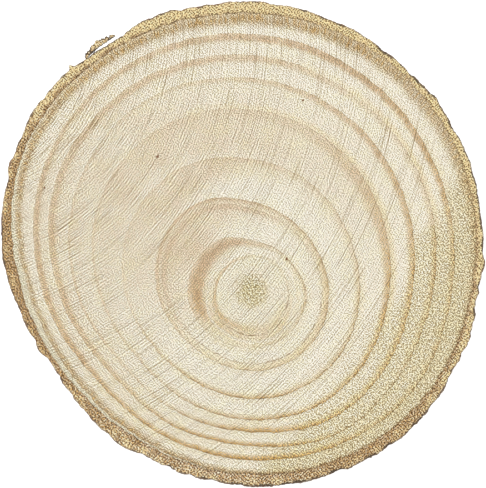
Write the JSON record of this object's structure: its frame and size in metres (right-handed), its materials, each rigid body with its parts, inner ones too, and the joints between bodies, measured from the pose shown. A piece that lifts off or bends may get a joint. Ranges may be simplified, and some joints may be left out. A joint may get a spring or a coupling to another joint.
{
  "type": "wood slice",
  "caption": "Round slice sawn across a young conifer log: pale wood with off-centre growth rings, a small dark pith and a thin, scaly bark edge.",
  "frame": {"origin": "on the flat back face, under the middle of the slice's box", "axes": "+Z out of the sawn front face, along the grain; +X to the right and +Y to the top of the slice as it is seen from the front, with the pith below the middle"},
  "size_m": [0.097, 0.0974, 0.0102],
  "materials": {
    "wood": "sawn, unfinished, matt"
  },
  "bodies": {
    "root": {"wood_slice": "wood"}
  },
  "joints": []
}
